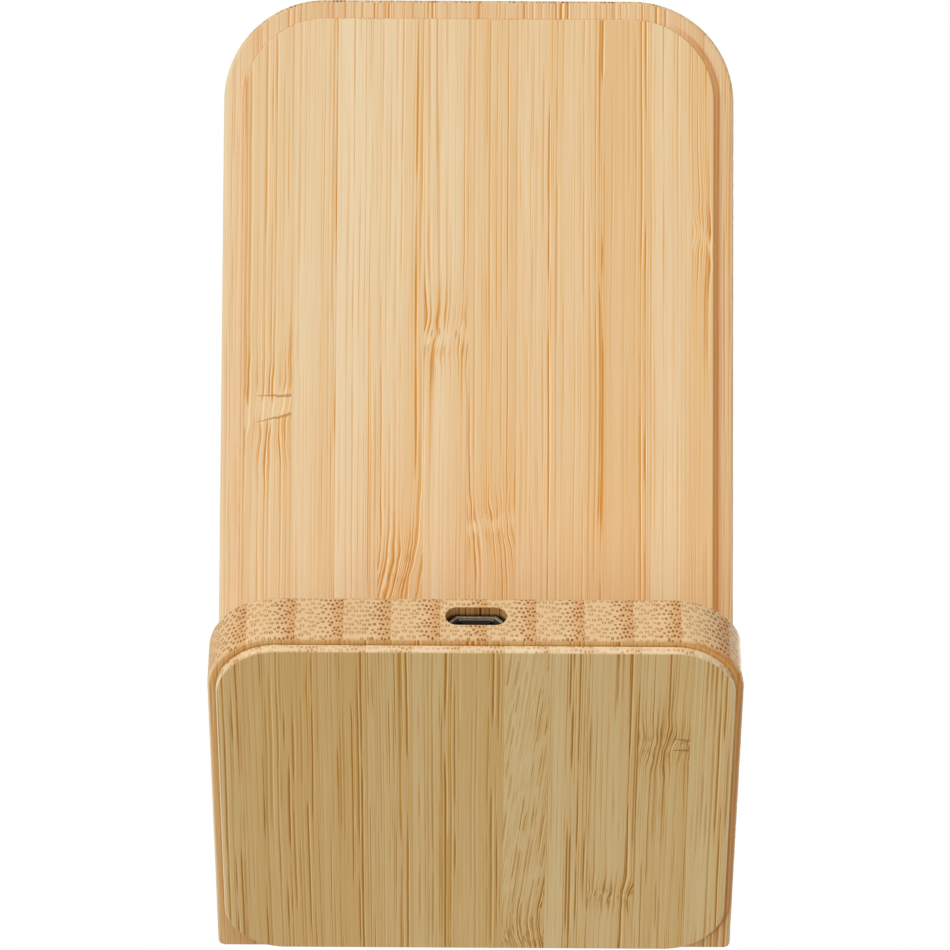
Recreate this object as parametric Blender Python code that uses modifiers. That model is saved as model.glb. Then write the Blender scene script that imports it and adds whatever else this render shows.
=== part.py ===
"""Wireless charging stand of two bamboo boards glued in a mitre, with the charger inside them.

Metres, +Z up. The base lies on the table, the back rest leans back over it, and the phone
stands on a ledge on the front face, which looks towards -Y. The charging coil lies in a pocket
in the back rest and the circuit board in a pocket in the base, each closed by a cover plate.

Three frames carry the pieces, all with their origin on the sharp outer edge of the mitre:
  base_frame   Y runs back along the underside of the base, Z up through the base
  back_frame   Y runs up the front face of the back rest, Z out of that face
  mitre_frame  Y runs from the outer edge to the inner corner, Z out of the base's mitre face
"""
import math

import bmesh
import bpy
from mathutils import Matrix, Vector

MM = 0.001

# Boards
board_width = 75.0 * MM
back_length = 139.0 * MM
back_thickness = 10.0 * MM
back_corner_radius = 15.0 * MM
base_length = 65.5 * MM
base_thickness = 8.0 * MM
base_corner_radius = 10.0 * MM
mitre_corner_radius = 1.0 * MM
board_edge_round = 0.6 * MM
lean_angle = math.radians(50.0)

# Clearances
glue_gap = 0.3 * MM
cut_overrun = 2.0 * MM

# Cover plates
cover_thickness = 1.0 * MM
cover_edge_round = 0.4 * MM
back_cover_margin = 3.0 * MM
back_cover_radius = 12.0 * MM
back_cover_setback = 3.2 * MM
base_cover_margin = 1.2 * MM
base_cover_radius = 8.8 * MM

# Phone ledge and its dowels
ledge_rise = 3.0 * MM
ledge_thickness = 8.0 * MM
ledge_depth = 14.0 * MM
ledge_corner_radius = 6.0 * MM
ledge_edge_round = 0.8 * MM
dowel_radius = 2.0 * MM
dowel_in_ledge = 9.0 * MM
dowel_in_board = 3.5 * MM
dowel_place_shares = (-0.34, 0.34)

# Splines that lock the mitre
spline_length = 20.0 * MM
spline_width = 5.0 * MM
spline_thickness = 1.6 * MM
spline_place_shares = (-0.29, 0.29)
spline_depth_share = 0.68

# Coil and what lies with it in the back rest
coil_height = 76.0 * MM
coil_outer_radius = 22.5 * MM
coil_inner_radius = 10.0 * MM
coil_thickness = 2.0 * MM
coil_edge_round = 0.5 * MM
front_wall = 2.2 * MM
adhesive_thickness = 0.5 * MM
ferrite_radius = 25.0 * MM
ferrite_thickness = 1.5 * MM
pocket_clearance = 1.5 * MM
groove_width = 5.0 * MM
groove_end_margin = 1.5 * MM

# Coil leads
lead_radius = 0.5 * MM
lead_bend_radius = 1.5 * MM
lead_hole_radius = 1.8 * MM
lead_hole_tilt = math.radians(10.0)
lead_hole_share = 0.7

# Circuit board in the base
base_roof = 1.9 * MM
rear_wall = 3.0 * MM
pcb_width = 38.0 * MM
pcb_length = 30.0 * MM
pcb_thickness = 1.0 * MM
pcb_corner_radius = 1.0 * MM
pcb_side_seat = 5.0 * MM
pcb_front_seat = 2.0 * MM
screw_inset = 3.0 * MM
screw_end_inset = 4.0 * MM
screw_head_radius = 1.7 * MM
screw_head_height = 0.6 * MM
screw_shank_radius = 0.9 * MM
screw_shank_length = 4.6 * MM
screw_tip_length = 1.2 * MM

# Charging inlet
shell_width = 7.5 * MM
shell_height = 2.5 * MM
shell_length = 5.6 * MM
shell_chamfer = 1.0 * MM
shell_wall = 0.3 * MM
shell_recess = 1.6 * MM
slot_side_clearance = 0.55 * MM
slot_top_clearance = 0.45 * MM
tongue_width = 3.9 * MM
tongue_thickness = 0.5 * MM
tongue_root_length = 1.5 * MM
tongue_front_gap = 0.8 * MM
contact_width = 0.35 * MM
contact_thickness = 0.2 * MM
contact_pitch = 0.65 * MM
contact_count = 5

# Components, as sizes across, along and up from the circuit board
controller_size = Vector((5.0 * MM, 5.0 * MM, 0.9 * MM))
transistor_size = Vector((5.0 * MM, 4.0 * MM, 1.2 * MM))
resonance_capacitor_size = Vector((3.2 * MM, 2.5 * MM, 1.8 * MM))
input_capacitor_size = Vector((2.5 * MM, 3.2 * MM, 1.6 * MM))
inductor_size = Vector((6.0 * MM, 6.0 * MM, 2.5 * MM))
controller_shares = ((0.25, 0.76),)
transistor_shares = ((0.70, 0.82), (0.70, 0.53))
resonance_capacitor_shares = ((0.12, 0.07), (0.37, 0.07), (0.62, 0.07), (0.87, 0.07))
input_capacitor_shares = ((0.93, 0.50), (0.93, 0.72))
inductor_shares = ((0.25, 0.40),)

# Facets
arc_steps = 8
round_steps = 24
coil_steps = 48

# Where the boards meet
inner_corner_back = (back_thickness + base_thickness * math.cos(lean_angle)) / math.sin(lean_angle)
inner_corner_up_board = inner_corner_back * math.cos(lean_angle) + base_thickness * math.sin(lean_angle)
mitre_angle = math.atan2(base_thickness, inner_corner_back)
mitre_length = math.hypot(base_thickness, inner_corner_back)
cut_reach = back_length + base_length

# Layers in the back rest, as heights along the Z of back_frame, from the front inwards
pocket_floor = -front_wall
adhesive_top = pocket_floor - glue_gap
coil_top = adhesive_top - adhesive_thickness - glue_gap
ferrite_top = coil_top - coil_thickness - glue_gap
foam_top = ferrite_top - ferrite_thickness - glue_gap
foam_bottom = -back_thickness
back_cover_top = -back_thickness - glue_gap
pocket_radius = ferrite_radius + pocket_clearance
groove_end = inner_corner_up_board + back_cover_setback + groove_end_margin

# Layers in the base, as heights along the Z of base_frame
pocket_roof = base_thickness - base_roof
shell_top = pocket_roof - slot_top_clearance
shell_bottom = shell_top - shell_height
pcb_seat = shell_bottom
pcb_top = shell_bottom - glue_gap
pcb_bottom = pcb_top - pcb_thickness
component_floor = pcb_top + glue_gap
pocket_rear = base_length - rear_wall
pcb_rear = pocket_rear - glue_gap
pcb_front = pcb_rear - pcb_length
pocket_front = pcb_front - glue_gap
shell_front = base_length - shell_recess
shell_rear = shell_front - shell_length

# Route of the coil leads, in base_frame
lead_height = (pcb_top + pcb_bottom) / 2
lead_rise_angle = lean_angle + lead_hole_tilt
lead_offset = lead_radius + glue_gap / 2
trough_roof = lead_height + lead_radius + 2 * glue_gap


def srgb(red, green, blue):
    """Linear colour of an sRGB colour given from 0 to 255."""
    return tuple((channel / 255) ** 2.2 for channel in (red, green, blue)) + (1.0,)


def make_material(name, colour, roughness, metallic):
    material = bpy.data.materials.new(name)
    material.use_nodes = True
    shader = material.node_tree.nodes["Principled BSDF"]
    shader.inputs["Base Color"].default_value = colour
    shader.inputs["Roughness"].default_value = roughness
    shader.inputs["Metallic"].default_value = metallic
    material.diffuse_color = colour
    return material


def clear_scene():
    for old in list(bpy.data.objects):
        bpy.data.objects.remove(old, do_unlink=True)


def new_collection(name):
    collection = bpy.data.collections.new(name)
    bpy.context.scene.collection.children.link(collection)
    return collection


def new_frame(name, parent, angle):
    """An empty on the mitre's outer edge, turned by angle about the X axis."""
    frame = bpy.data.objects.new(name, None)
    frame.parent = parent
    frame.rotation_euler = (angle, 0, 0)
    frame.empty_display_size = board_width / 4
    PARTS.objects.link(frame)
    return frame


def adopt(piece, parent, collection):
    """Moves a new object into a collection and under a frame, where its location then counts."""
    for holder in list(piece.users_collection):
        holder.objects.unlink(piece)
    collection.objects.link(piece)
    piece.parent = parent
    return piece


def finish_part(piece, name, parent, colour, roughness, metallic):
    """Names a piece, gives it its material and puts it with the parts of the stand."""
    piece.name = name
    piece.data.name = name
    piece.data.materials.clear()
    piece.data.materials.append(make_material(name, colour, roughness, metallic))
    return adopt(piece, parent, PARTS)


def finish_cutter(piece, name, parent):
    piece.name = name
    piece.display_type = "WIRE"
    piece.hide_render = True
    return adopt(piece, parent, CUTTERS)


def cut(piece, cutter):
    """Takes the cutter's shape away from the piece."""
    boolean = piece.modifiers.new("cut_" + cutter.name, "BOOLEAN")
    boolean.operation = "DIFFERENCE"
    boolean.solver = "EXACT"
    boolean.object = cutter


def make_box(low, high):
    """A box from its lowest corner to its highest."""
    low = Vector(low)
    high = Vector(high)
    bpy.ops.mesh.primitive_cube_add(size=1)
    box = bpy.context.object
    box.data.transform(Matrix.Diagonal((*(high - low), 1)))
    box.data.transform(Matrix.Translation((low + high) / 2))
    return box


def make_cylinder(radius, start, end, steps):
    """A cylinder between two points on its axis."""
    start = Vector(start)
    end = Vector(end)
    bpy.ops.mesh.primitive_cylinder_add(vertices=steps, radius=radius, depth=(end - start).length)
    cylinder = bpy.context.object
    turn = (end - start).to_track_quat("Z", "Y").to_matrix().to_4x4()
    cylinder.data.transform(Matrix.Translation((start + end) / 2) @ turn)
    cylinder.data.shade_smooth()
    cylinder.data.set_sharp_from_angle(angle=math.radians(40))
    return cylinder


def as_mesh(source):
    """Replaces an object by the mesh that its curve or modifiers make, with its seams welded."""
    bpy.context.view_layer.update()
    evaluated = source.evaluated_get(bpy.context.evaluated_depsgraph_get())
    mesh = bpy.data.meshes.new_from_object(evaluated)
    welded = bmesh.new()
    welded.from_mesh(mesh)
    bmesh.ops.remove_doubles(welded, verts=welded.verts, dist=glue_gap / 100)
    bmesh.ops.recalc_face_normals(welded, faces=welded.faces)
    welded.to_mesh(mesh)
    welded.free()
    piece = bpy.data.objects.new(source.name, mesh)
    piece.matrix_world = source.matrix_world
    bpy.context.scene.collection.objects.link(piece)
    bpy.data.objects.remove(source, do_unlink=True)
    return piece


def arc_points(centre, radius, start_angle, end_angle, steps):
    """Points along an arc in the XY plane, both ends included."""
    points = []
    for step in range(steps + 1):
        angle = start_angle + (end_angle - start_angle) * step / steps
        points.append((centre[0] + radius * math.cos(angle), centre[1] + radius * math.sin(angle)))
    return points


def rounded_outline(half_width, low, high, low_radius, high_radius):
    """A rectangle from low to high along Y, symmetric in X, with round corners."""
    quarter = math.pi / 2
    corners = (
        (half_width - low_radius, low + low_radius, low_radius, -quarter),
        (half_width - high_radius, high - high_radius, high_radius, 0.0),
        (high_radius - half_width, high - high_radius, high_radius, quarter),
        (low_radius - half_width, low + low_radius, low_radius, 2 * quarter),
    )
    outline = []
    for across, along, radius, angle in corners:
        outline += arc_points((across, along), radius, angle, angle + quarter, arc_steps)
    return outline


def make_plate(outline, low, high, edge_round):
    """A flat outline in the XY plane made solid from low to high in Z, with rounded edges."""
    curve = bpy.data.curves.new("plate", "CURVE")
    curve.dimensions = "2D"
    curve.fill_mode = "BOTH"
    curve.extrude = (high - low) / 2 - edge_round
    curve.bevel_depth = edge_round
    curve.bevel_resolution = 1
    curve.offset = -edge_round
    spline = curve.splines.new("POLY")
    spline.points.add(len(outline) - 1)
    for point, (across, along) in zip(spline.points, outline):
        point.co = (across, along, 0, 1)
    spline.use_cyclic_u = True
    plate = bpy.data.objects.new("plate", curve)
    bpy.context.scene.collection.objects.link(plate)
    plate = as_mesh(plate)
    plate.data.transform(Matrix.Translation((0, 0, (low + high) / 2)))
    return plate


def make_turned(profile, closed):
    """A profile of (radius, height) points turned about the Z axis."""
    mesh = bpy.data.meshes.new("turned")
    edges = [(index, index + 1) for index in range(len(profile) - 1)]
    if closed:
        edges.append((len(profile) - 1, 0))
    mesh.from_pydata([(radius, 0, height) for radius, height in profile], edges, [])
    turned = bpy.data.objects.new("turned", mesh)
    bpy.context.scene.collection.objects.link(turned)
    screw = turned.modifiers.new("turn", "SCREW")
    screw.steps = coil_steps if closed else round_steps
    screw.render_steps = screw.steps
    screw.use_merge_vertices = True
    screw.merge_threshold = glue_gap / 100
    return as_mesh(turned)


def make_tube(path, radius):
    """A round wire along a list of points."""
    curve = bpy.data.curves.new("tube", "CURVE")
    curve.dimensions = "3D"
    curve.bevel_depth = radius
    curve.bevel_resolution = 2
    curve.use_fill_caps = True
    spline = curve.splines.new("POLY")
    spline.points.add(len(path) - 1)
    for point, place in zip(spline.points, path):
        point.co = (*place, 1)
    tube = bpy.data.objects.new("tube", curve)
    bpy.context.scene.collection.objects.link(tube)
    return as_mesh(tube)


def finish_copies(unit, name, places, parent, colour, roughness, metallic):
    """A part at each place, all sharing the unit's mesh, with numbered names if there are several."""
    finish_part(unit, name, parent, colour, roughness, metallic)
    unit.location = places[0]
    for number, place in enumerate(places[1:], start=2):
        unit.name = f"{name}_1"
        copy = unit.copy()
        copy.name = f"{name}_{number}"
        copy.location = place
        PARTS.objects.link(copy)


def repeat_cutter(unit, places):
    """One cutter that holds a copy of the unit at each place."""
    group = bmesh.new()
    for place in places:
        moved = unit.data.copy()
        moved.transform(Matrix.Translation(place))
        group.from_mesh(moved)
        bpy.data.meshes.remove(moved)
    group.to_mesh(unit.data)
    group.free()
    return unit


def half_space(name, low, high, parent):
    """A cutter that fills everything between two heights of a frame."""
    box = make_box((-cut_reach, -cut_reach, low), (cut_reach, cut_reach, high))
    return finish_cutter(box, name, parent)


def spline_places():
    return [(share * board_width, spline_depth_share * mitre_length, 0) for share in spline_place_shares]


def dowel_places():
    height = ledge_rise + ledge_thickness / 2
    return [(share * board_width, height, 0) for share in dowel_place_shares]


def mitre_splines():
    half = Vector((spline_length, spline_thickness, spline_width)) / 2
    colour = srgb(206, 168, 118)
    finish_copies(make_box(-half, half), "mitre_spline", spline_places(), MITRE_FRAME, colour, 0.7, 0.0)


def spline_slots():
    half = Vector((spline_length, spline_thickness, spline_width)) / 2 + Vector((glue_gap,) * 3)
    return finish_cutter(repeat_cutter(make_box(-half, half), spline_places()), "spline_slots", MITRE_FRAME)


def ledge_dowels():
    dowel = make_cylinder(dowel_radius, (0, 0, -dowel_in_board), (0, 0, dowel_in_ledge), round_steps)
    finish_copies(dowel, "ledge_dowel", dowel_places(), BACK_FRAME, srgb(214, 178, 128), 0.7, 0.0)


def dowel_holes():
    start = (0, 0, -dowel_in_board - glue_gap)
    end = (0, 0, dowel_in_ledge + glue_gap)
    hole = make_cylinder(dowel_radius + glue_gap, start, end, round_steps)
    return finish_cutter(repeat_cutter(hole, dowel_places()), "dowel_holes", BACK_FRAME)


def lead_corners():
    """Corners of the leads' route in base_frame: board end, bend, groove and coil end."""
    along_face = Vector((0, math.cos(lean_angle), math.sin(lean_angle)))
    into_board = Vector((0, math.sin(lean_angle), -math.cos(lean_angle)))
    rise = Vector((0, math.cos(lead_rise_angle), math.sin(lead_rise_angle)))
    crossing = Vector((0, inner_corner_back, base_thickness)) * lead_hole_share
    bend = crossing - rise * ((crossing.z - lead_height) / rise.z)
    lead_depth = coil_thickness / 2 - coil_top
    climb = (crossing.dot(into_board) - lead_depth) / math.sin(lead_hole_tilt)
    groove = crossing + rise * climb
    coil_side = coil_height - coil_outer_radius - glue_gap
    coil_end = along_face * coil_side + into_board * lead_depth
    board_end = Vector((0, pocket_front, lead_height))
    return board_end, bend, groove, coil_end


def rounded_path(corners, radius):
    """A path through the corners, each inner corner replaced by an arc of the radius."""
    path = [corners[0]]
    for before, corner, after in zip(corners, corners[1:], corners[2:]):
        inward = (before - corner).normalized()
        outward = (after - corner).normalized()
        half = inward.angle(outward) / 2
        tangent = radius / math.tan(half)
        centre = corner + (inward + outward).normalized() * (radius / math.sin(half))
        start = corner + inward * tangent - centre
        end = corner + outward * tangent - centre
        for step in range(arc_steps + 1):
            path.append(centre + start.slerp(end, step / arc_steps).normalized() * radius)
    path.append(corners[-1])
    return path


def coil_leads():
    path = rounded_path(lead_corners(), lead_bend_radius)
    lead = make_tube(path, lead_radius)
    places = [(-lead_offset, 0, 0), (lead_offset, 0, 0)]
    finish_copies(lead, "coil_lead", places, BASE_FRAME, srgb(150, 30, 26), 0.45, 0.0)


def lead_hole():
    """The hole that takes the leads from the base through the mitre into the back rest."""
    board_end, bend, groove, coil_end = lead_corners()
    start = bend.lerp(groove, (trough_roof - glue_gap - bend.z) / (groove.z - bend.z))
    return finish_cutter(make_cylinder(lead_hole_radius, start, groove, round_steps), "lead_hole", BASE_FRAME)


def coil_pocket():
    """The pocket for the coil, open at the back of the back rest."""
    centre_low = (0, coil_height, -back_thickness - cut_overrun)
    centre_high = (0, coil_height, pocket_floor)
    pocket = make_cylinder(pocket_radius, centre_low, centre_high, coil_steps)
    return finish_cutter(pocket, "coil_pocket", BACK_FRAME)


def lead_groove():
    """The groove from the coil pocket down to the leads' hole, under the back cover."""
    low = (-groove_width / 2, groove_end, -back_thickness - cut_overrun)
    high = (groove_width / 2, coil_height, pocket_floor)
    return finish_cutter(make_box(low, high), "lead_groove", BACK_FRAME)


def back_rest(cutters):
    outline = rounded_outline(board_width / 2, 0, back_length, mitre_corner_radius, back_corner_radius)
    board = make_plate(outline, -back_thickness, 0, board_edge_round)
    finish_part(board, "back_rest", BACK_FRAME, srgb(235, 200, 150), 0.55, 0.0)
    for cutter in cutters:
        cut(board, cutter)
    return board


def back_cover():
    low = inner_corner_up_board + back_cover_setback
    high = back_length - back_cover_margin
    half_width = board_width / 2 - back_cover_margin
    outline = rounded_outline(half_width, low, high, back_cover_radius, back_cover_radius)
    cover = make_plate(outline, back_cover_top - cover_thickness, back_cover_top, cover_edge_round)
    return finish_part(cover, "back_cover", BACK_FRAME, srgb(233, 197, 145), 0.55, 0.0)


def phone_ledge(holes):
    """The ledge, an outline across and out of the front face, made solid up the face."""
    low = glue_gap
    high = glue_gap + ledge_depth
    outline = rounded_outline(board_width / 2, low, high, 2 * ledge_edge_round, ledge_corner_radius)
    ledge = make_plate(outline, -ledge_rise - ledge_thickness, -ledge_rise, ledge_edge_round)
    ledge.data.transform(Matrix.Rotation(math.pi / 2, 4, "X"))
    finish_part(ledge, "phone_ledge", BACK_FRAME, srgb(232, 196, 146), 0.55, 0.0)
    cut(ledge, holes)
    return ledge


def charging_coil():
    """The wound coil, as the ring that its turns fill."""
    low = coil_top - coil_thickness
    corners = (
        (coil_outer_radius - coil_edge_round, coil_top),
        (coil_outer_radius, coil_top - coil_edge_round),
        (coil_outer_radius, low + coil_edge_round),
        (coil_outer_radius - coil_edge_round, low),
        (coil_inner_radius + coil_edge_round, low),
        (coil_inner_radius, low + coil_edge_round),
        (coil_inner_radius, coil_top - coil_edge_round),
        (coil_inner_radius + coil_edge_round, coil_top),
    )
    coil = make_turned(corners, closed=True)
    coil.data.transform(Matrix.Translation((0, coil_height, 0)))
    return finish_part(coil, "charging_coil", BACK_FRAME, srgb(184, 104, 58), 0.35, 0.9)


def pocket_disc(name, radius, high, thickness, colour, roughness):
    """A round sheet in the coil pocket, centred on the coil."""
    disc = make_cylinder(radius, (0, coil_height, high - thickness), (0, coil_height, high), coil_steps)
    return finish_part(disc, name, BACK_FRAME, colour, roughness, 0.0)


def base_pocket():
    """The shallow pocket whose roof is the seat of the circuit board."""
    half_width = pcb_width / 2 + glue_gap
    box = make_box((-half_width, pocket_front, -cut_overrun), (half_width, pocket_rear, pcb_seat))
    return finish_cutter(box, "base_pocket", BASE_FRAME)


def component_pocket():
    """The deeper pocket that the inlet and the components stand in."""
    half_width = pcb_width / 2 - pcb_side_seat
    low = (-half_width, pcb_front + pcb_front_seat, -cut_overrun)
    return finish_cutter(make_box(low, (half_width, pocket_rear, pocket_roof)), "component_pocket", BASE_FRAME)


def lead_trough():
    """The trough that takes the leads from the circuit board to their hole."""
    board_end, bend, groove, coil_end = lead_corners()
    low = (-groove_width / 2, bend.y, -cut_overrun)
    high = (groove_width / 2, pocket_front + cut_overrun, trough_roof)
    return finish_cutter(make_box(low, high), "lead_trough", BASE_FRAME)


def inlet_slot():
    """The slot with round ends in the rear end of the base, around the inlet's shell."""
    half_width = shell_width / 2 + slot_side_clearance
    low = shell_bottom - slot_top_clearance
    high = shell_top + slot_top_clearance
    radius = (high - low) / 2
    outline = rounded_outline(half_width, low, high, radius, radius)
    slot = make_plate(outline, -base_length - cut_overrun, -pocket_rear + cut_overrun, 0)
    slot.data.transform(Matrix.Rotation(math.pi / 2, 4, "X"))
    return finish_cutter(slot, "inlet_slot", BASE_FRAME)


def screw_places():
    across = pcb_width / 2 - screw_inset
    ends = (pcb_front + screw_end_inset, pcb_rear - screw_end_inset)
    return [(side * across, along, 0) for side in (-1, 1) for along in ends]


def screw_holes():
    """The holes for the screws through the circuit board and into the base."""
    high = pcb_bottom + screw_shank_length + glue_gap
    hole = make_cylinder(screw_shank_radius + glue_gap, (0, 0, -cut_overrun), (0, 0, high), round_steps)
    return finish_cutter(repeat_cutter(hole, screw_places()), "screw_holes", BASE_FRAME)


def base_board(cutters):
    outline = rounded_outline(board_width / 2, 0, base_length, mitre_corner_radius, base_corner_radius)
    board = make_plate(outline, 0, base_thickness, board_edge_round)
    finish_part(board, "base_board", BASE_FRAME, srgb(226, 190, 142), 0.55, 0.0)
    for cutter in cutters:
        cut(board, cutter)
    return board


def base_cover():
    half_width = board_width / 2 - base_cover_margin
    low = base_cover_margin
    high = base_length - base_cover_margin
    outline = rounded_outline(half_width, low, high, base_cover_radius, base_cover_radius)
    cover = make_plate(outline, -glue_gap - cover_thickness, -glue_gap, cover_edge_round)
    return finish_part(cover, "base_cover", BASE_FRAME, srgb(214, 180, 126), 0.55, 0.0)


def circuit_board(holes):
    outline = rounded_outline(pcb_width / 2, pcb_front, pcb_rear, pcb_corner_radius, pcb_corner_radius)
    board = make_plate(outline, pcb_bottom, pcb_top, 0)
    finish_part(board, "circuit_board", BASE_FRAME, srgb(24, 92, 58), 0.4, 0.0)
    cut(board, holes)
    return board


def board_screws():
    """Pan head screws with their heads under the circuit board and their tips in the base."""
    profile = (
        (0, screw_head_height),
        (screw_head_radius * 0.7, screw_head_height),
        (screw_head_radius, screw_head_height / 2),
        (screw_head_radius, 0),
        (screw_shank_radius, 0),
        (screw_shank_radius, screw_tip_length - screw_shank_length),
        (0, -screw_shank_length),
    )
    screw = make_turned(profile, closed=False)
    screw.data.transform(Matrix.Rotation(math.pi, 4, "X"))
    screw.data.transform(Matrix.Translation((0, 0, pcb_bottom - glue_gap)))
    finish_copies(screw, "board_screw", screw_places(), BASE_FRAME, srgb(168, 170, 172), 0.3, 1.0)


def shell_outline(inset):
    """The inlet's section, wide at the circuit board and narrow towards the back rest."""
    half_width = shell_width / 2 - inset
    low = shell_bottom + inset
    high = shell_top - inset
    return [
        (-half_width, low),
        (half_width, low),
        (half_width, high - shell_chamfer),
        (half_width - shell_chamfer, high),
        (shell_chamfer - half_width, high),
        (-half_width, high - shell_chamfer),
    ]


def usb_shell():
    shell = make_plate(shell_outline(0), -shell_front, -shell_rear, 0)
    shell.data.transform(Matrix.Rotation(math.pi / 2, 4, "X"))
    mouth = make_plate(shell_outline(shell_wall), -shell_front - cut_overrun, -shell_rear - shell_wall, 0)
    mouth.data.transform(Matrix.Rotation(math.pi / 2, 4, "X"))
    finish_cutter(mouth, "shell_mouth", BASE_FRAME)
    finish_part(shell, "usb_shell", BASE_FRAME, srgb(176, 176, 172), 0.3, 1.0)
    cut(shell, mouth)
    return shell


def tongue_low():
    """Height of the underside of the tongue, above the contacts and the shell's floor."""
    return (shell_bottom + shell_top) / 2


def usb_tongue():
    """The insulator: a root block at the back of the shell and the tongue in front of it."""
    inset = shell_wall + glue_gap
    root_front = shell_rear + inset + tongue_root_length
    half_width = shell_width / 2 - inset - shell_chamfer
    root_low = (-half_width, shell_rear + inset, shell_bottom + inset)
    root = make_box(root_low, (half_width, root_front, shell_top - inset))
    low = (-tongue_width / 2, root_front - glue_gap, tongue_low())
    high = (tongue_width / 2, shell_front - tongue_front_gap, tongue_low() + tongue_thickness)
    blade = finish_cutter(make_box(low, high), "tongue_blade", BASE_FRAME)
    finish_part(root, "usb_tongue", BASE_FRAME, srgb(26, 26, 28), 0.5, 0.0)
    union = root.modifiers.new("join_blade", "BOOLEAN")
    union.operation = "UNION"
    union.solver = "EXACT"
    union.object = blade
    return root


def usb_contacts():
    """The row of contacts under the tongue."""
    root_front = shell_rear + shell_wall + glue_gap + tongue_root_length
    top = tongue_low() - glue_gap
    low = (-contact_width / 2, root_front + glue_gap, top - contact_thickness)
    high = (contact_width / 2, shell_front - tongue_front_gap, top)
    places = [((index - (contact_count - 1) / 2) * contact_pitch, 0, 0) for index in range(contact_count)]
    finish_copies(make_box(low, high), "usb_contact", places, BASE_FRAME, srgb(212, 172, 96), 0.3, 1.0)


def components(name, size, shares, colour, roughness):
    """Like components on the circuit board, placed by shares of the bay in front of the inlet."""
    bay_half_width = pcb_width / 2 - pcb_side_seat - glue_gap
    bay_front = pcb_front + pcb_front_seat + glue_gap
    bay_length = shell_rear - glue_gap - bay_front
    body = make_box((-size.x / 2, -size.y / 2, 0), (size.x / 2, size.y / 2, size.z))
    places = []
    for across_share, along_share in shares:
        across = (2 * across_share - 1) * bay_half_width
        places.append((across, bay_front + along_share * bay_length, component_floor))
    finish_copies(body, name, places, BASE_FRAME, colour, roughness, 0.0)


def stand_on_origin(root):
    """Moves the stand so that the origin is at the bottom centre of its bounding box."""
    bpy.context.view_layer.update()
    depsgraph = bpy.context.evaluated_depsgraph_get()
    corners = []
    for piece in PARTS.objects:
        if piece.type == "MESH":
            evaluated = piece.evaluated_get(depsgraph)
            corners += [evaluated.matrix_world @ vertex.co for vertex in evaluated.data.vertices]
    low = Vector([min(corner[axis] for corner in corners) for axis in range(3)])
    high = Vector([max(corner[axis] for corner in corners) for axis in range(3)])
    root.location = (-(low.x + high.x) / 2, -(low.y + high.y) / 2, -low.z)
    bpy.context.view_layer.update()


clear_scene()
PARTS = new_collection("wireless_charging_stand")
CUTTERS = new_collection("cutters")
ROOT = new_frame("stand_root", None, 0)
BASE_FRAME = new_frame("base_frame", ROOT, 0)
BACK_FRAME = new_frame("back_frame", ROOT, lean_angle)
MITRE_FRAME = new_frame("mitre_frame", ROOT, mitre_angle)

mitre_cut_above = half_space("mitre_cut_above", -glue_gap / 2, cut_reach, MITRE_FRAME)
mitre_cut_below = half_space("mitre_cut_below", -cut_reach, glue_gap / 2, MITRE_FRAME)
spline_cut = spline_slots()
dowel_cut = dowel_holes()
lead_cut = lead_hole()
screw_cut = screw_holes()

back_rest([mitre_cut_below, spline_cut, dowel_cut, lead_cut, coil_pocket(), lead_groove()])
back_cover()
phone_ledge(dowel_cut)
ledge_dowels()
mitre_splines()
pocket_disc("coil_adhesive", coil_outer_radius, adhesive_top, adhesive_thickness, srgb(228, 226, 214), 0.8)
charging_coil()
pocket_disc("ferrite_sheet", ferrite_radius, ferrite_top, ferrite_thickness, srgb(58, 58, 62), 0.7)
pocket_disc("coil_foam", coil_outer_radius, foam_top, foam_top - foam_bottom, srgb(70, 70, 72), 0.95)
coil_leads()

base_pockets = [base_pocket(), component_pocket(), lead_trough(), inlet_slot()]
base_board([mitre_cut_above, spline_cut, dowel_cut, lead_cut, screw_cut] + base_pockets)
base_cover()
circuit_board(screw_cut)
board_screws()
usb_shell()
usb_tongue()
usb_contacts()
components("controller_chip", controller_size, controller_shares, srgb(32, 32, 34), 0.5)
components("bridge_transistor", transistor_size, transistor_shares, srgb(36, 36, 38), 0.5)
components("resonance_capacitor", resonance_capacitor_size, resonance_capacitor_shares, srgb(176, 150, 116), 0.5)
components("input_capacitor", input_capacitor_size, input_capacitor_shares, srgb(196, 176, 140), 0.5)
components("power_inductor", inductor_size, inductor_shares, srgb(64, 64, 66), 0.6)

stand_on_origin(ROOT)
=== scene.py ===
"""Looks of the bamboo wireless charging stand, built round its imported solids.

The boards, covers, ledge and inlet are modelled again with finer edges in place of the plain
solids, and every surface gets a procedural material. All bamboo comes from one solid pattern of
strips, bundles and knuckles, so that the lines on a face meet the dots on the end grain.
"""

import math
from typing import NamedTuple

import bmesh
import bpy
from mathutils import Matrix, Vector


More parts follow.
